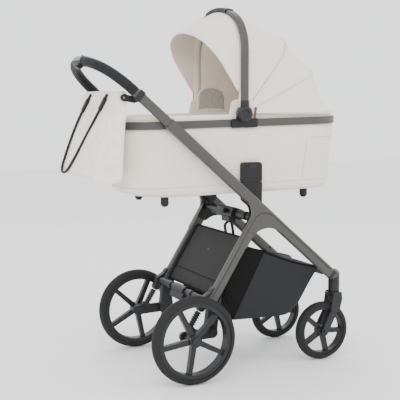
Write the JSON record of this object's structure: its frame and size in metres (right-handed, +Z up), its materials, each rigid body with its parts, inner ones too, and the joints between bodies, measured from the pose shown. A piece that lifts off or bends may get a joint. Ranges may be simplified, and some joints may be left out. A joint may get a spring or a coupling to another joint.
{
  "type": "bassinet pram",
  "caption": "Bassinet pram: folding tubular chassis with sprung rear wheels and swivelling front casters, lift-off cot with folding hood, telescoping push bar and hanging bag.",
  "frame": {"origin": "on the ground, at the middle of the overall length and width", "axes": "+X forward, towards the swivelling front wheels; +Y to the left; +Z up"},
  "size_m": [0.9586, 0.566, 1.227],
  "materials": {
    "frame_metal": "satin gunmetal powder coat",
    "dark_plastic": "fine moulded grain",
    "black_plastic": "fine moulded grain",
    "tyre_foam": "matt foamed rubber",
    "wheel_plastic": "satin",
    "basket_cloth": "plain woven polyester",
    "cream_cloth": "fine woven polyester",
    "bag_cloth": "coated leatherette",
    "webbing": "woven webbing",
    "grip_leather": "stitched leatherette",
    "spring_steel": "blackened"
  },
  "bodies": {
    "chassis": {"side_frame_right": "frame_metal", "side_frame_left": "frame_metal", "front_elbow_right": "dark_plastic", "front_elbow_left": "dark_plastic", "front_crossbar": "dark_plastic", "fold_crossbar": "black_plastic", "fold_strap": "webbing", "cot_adapter_right": "black_plastic", "cot_adapter_left": "black_plastic", "basket": "basket_cloth"},
    "fold_latch": {"fold_latch": "black_plastic"},
    "rear_legs": {"rear_leg_right": "frame_metal", "rear_leg_left": "frame_metal", "rear_beam": "black_plastic", "suspension_housing_right": "dark_plastic", "suspension_housing_left": "dark_plastic", "basket_rear_panel": "basket_cloth", "rear_spring_right": "spring_steel", "rear_spring_left": "spring_steel"},
    "brake_pedal": {"brake_pedal": "black_plastic"},
    "handle": {"handle_bar": "frame_metal", "handle_grip": "grip_leather", "handle_console": "black_plastic", "bag_clips": "webbing"},
    "adjust_button": {"adjust_button": "dark_plastic"},
    "height_lever": {"height_lever": "black_plastic"},
    "bag": {"bag_body": "bag_cloth", "bag_straps": "webbing"},
    "cot": {"cot_tub": "cream_cloth", "cot_rim": "frame_metal", "cot_brackets": "black_plastic", "cot_sockets": "black_plastic", "cot_feet": "black_plastic", "mattress": "cream_cloth", "hood_canopy": "cream_cloth"},
    "carry_bow": {"carry_bow": "frame_metal", "carry_grip": "black_plastic", "hood_visor": "cream_cloth"},
    "hood_bow_middle": {"hood_bow_middle": "spring_steel"},
    "hood_bow_front": {"hood_bow_front": "spring_steel"},
    "swing_arm_right": {"swing_arm_right": "dark_plastic"},
    "rear_wheel_right": {"rear_tyre_right": "tyre_foam", "rear_rim_right": "wheel_plastic"},
    "caster_right": {"caster_fork_right": "dark_plastic"},
    "swivel_lock_right": {"swivel_lock_right": "black_plastic"},
    "front_wheel_right": {"front_tyre_right": "tyre_foam", "front_rim_right": "wheel_plastic"},
    "release_button_right": {"release_button_right": "dark_plastic"},
    "hub_button_right": {"hub_button_right": "dark_plastic"},
    "swing_arm_left": {"swing_arm_left": "dark_plastic"},
    "rear_wheel_left": {"rear_tyre_left": "tyre_foam", "rear_rim_left": "wheel_plastic"},
    "caster_left": {"caster_fork_left": "dark_plastic"},
    "swivel_lock_left": {"swivel_lock_left": "black_plastic"},
    "front_wheel_left": {"front_tyre_left": "tyre_foam", "front_rim_left": "wheel_plastic"},
    "release_button_left": {"release_button_left": "dark_plastic"},
    "hub_button_left": {"hub_button_left": "dark_plastic"}
  },
  "joints": [
    {"name": "leg_fold", "type": "hinge", "parent": "chassis", "child": "rear_legs", "pos_m": [0.09528, 0, 0.52], "axis": [0, -1, 0], "range_deg": [0, 48], "deforming": ["basket", "fold_strap"]},
    {"name": "latch_press", "type": "slide", "parent": "chassis", "child": "fold_latch", "axis": [0.9397, 0, -0.342], "range_m": [0, 0.008], "stiffness_N_per_m": 600, "springref_m": -0.004},
    {"name": "brake_press", "type": "hinge", "parent": "rear_legs", "child": "brake_pedal", "pos_m": [-0.09172, 0, 0.258], "axis": [0, -1, 0], "range_deg": [0, 15]},
    {"name": "handle_slide", "type": "slide", "parent": "chassis", "child": "handle", "axis": [-0.7547, 0, 0.6561], "range_m": [-0.008, 0.06]},
    {"name": "adjust_press", "type": "slide", "parent": "handle", "child": "adjust_button", "axis": [-0.6561, 0, -0.7547], "range_m": [0, 0.0025], "stiffness_N_per_m": 500, "springref_m": -0.002},
    {"name": "lever_squeeze", "type": "slide", "parent": "handle", "child": "height_lever", "axis": [0.6561, 0, 0.7547], "range_m": [0, 0.003], "stiffness_N_per_m": 500, "springref_m": -0.002},
    {"name": "bag_swing", "type": "hinge", "parent": "handle", "child": "bag", "pos_m": [-0.36072, 0, 0.92], "axis": [0, 1, 0], "range_deg": [0, 25]},
    {"name": "cot_lift", "type": "slide", "parent": "chassis", "child": "cot", "axis": [0, 0, 1], "range_m": [0, 0.3]},
    {"name": "hood_fold", "type": "hinge", "parent": "cot", "child": "carry_bow", "pos_m": [0.05365, 0, 0.86799], "axis": [0, 1, 0], "range_deg": [0, 50], "deforming": ["hood_canopy"]},
    {"name": "middle_bow_fold", "type": "hinge", "parent": "cot", "child": "hood_bow_middle", "pos_m": [0.05365, 0, 0.86799], "axis": [0, 1, 0], "range_deg": [0, 25]},
    {"name": "front_bow_fold", "type": "hinge", "parent": "cot", "child": "hood_bow_front", "pos_m": [0.05365, 0, 0.86799], "axis": [0, 1, 0], "range_deg": [0, 15]},
    {"name": "suspension_right", "type": "hinge", "parent": "rear_legs", "child": "swing_arm_right", "pos_m": [-0.07372, -0.216, 0.152], "axis": [0, 1, 0], "range_deg": [0, 8], "stiffness_Nm_per_rad": 70, "springref_deg": -9.17, "deforming": ["rear_spring_right"]},
    {"name": "rear_spin_right", "type": "hinge", "parent": "swing_arm_right", "child": "rear_wheel_right", "pos_m": [-0.15972, -0.261, 0.145], "axis": [0, 1, 0], "continuous": true},
    {"name": "swivel_right", "type": "hinge", "parent": "chassis", "child": "caster_right", "pos_m": [0.42528, -0.167, 0.24], "axis": [0, 0, 1], "continuous": true},
    {"name": "swivel_lock_right", "type": "slide", "parent": "caster_right", "child": "swivel_lock_right", "axis": [-1, 0, 0], "range_m": [0, 0.005]},
    {"name": "front_spin_right", "type": "hinge", "parent": "caster_right", "child": "front_wheel_right", "pos_m": [0.37628, -0.167, 0.103], "axis": [0, 1, 0], "continuous": true},
    {"name": "release_press_right", "type": "slide", "parent": "cot", "child": "release_button_right", "axis": [0, 1, 0], "range_m": [0, 0.0025], "stiffness_N_per_m": 500, "springref_m": -0.002},
    {"name": "hub_press_right", "type": "slide", "parent": "carry_bow", "child": "hub_button_right", "axis": [0, 1, 0], "range_m": [0, 0.003], "stiffness_N_per_m": 500, "springref_m": -0.002},
    {"name": "suspension_left", "type": "hinge", "parent": "rear_legs", "child": "swing_arm_left", "pos_m": [-0.07372, 0.216, 0.152], "axis": [0, 1, 0], "range_deg": [0, 8], "stiffness_Nm_per_rad": 70, "springref_deg": -9.17, "deforming": ["rear_spring_left"]},
    {"name": "rear_spin_left", "type": "hinge", "parent": "swing_arm_left", "child": "rear_wheel_left", "pos_m": [-0.15972, 0.261, 0.145], "axis": [0, 1, 0], "continuous": true},
    {"name": "swivel_left", "type": "hinge", "parent": "chassis", "child": "caster_left", "pos_m": [0.42528, 0.167, 0.24], "axis": [0, 0, 1], "continuous": true},
    {"name": "swivel_lock_left", "type": "slide", "parent": "caster_left", "child": "swivel_lock_left", "axis": [-1, 0, 0], "range_m": [0, 0.005]},
    {"name": "front_spin_left", "type": "hinge", "parent": "caster_left", "child": "front_wheel_left", "pos_m": [0.37628, 0.167, 0.103], "axis": [0, 1, 0], "continuous": true},
    {"name": "release_press_left", "type": "slide", "parent": "cot", "child": "release_button_left", "axis": [0, -1, 0], "range_m": [0, 0.0025], "stiffness_N_per_m": 500, "springref_m": -0.002},
    {"name": "hub_press_left", "type": "slide", "parent": "carry_bow", "child": "hub_button_left", "axis": [0, -1, 0], "range_m": [0, 0.003], "stiffness_N_per_m": 500, "springref_m": -0.002}
  ],
  "couplings": [
    {"joint": "middle_bow_fold", "follows": "hood_fold", "ratio": 0.5},
    {"joint": "front_bow_fold", "follows": "hood_fold", "ratio": 0.3}
  ]
}
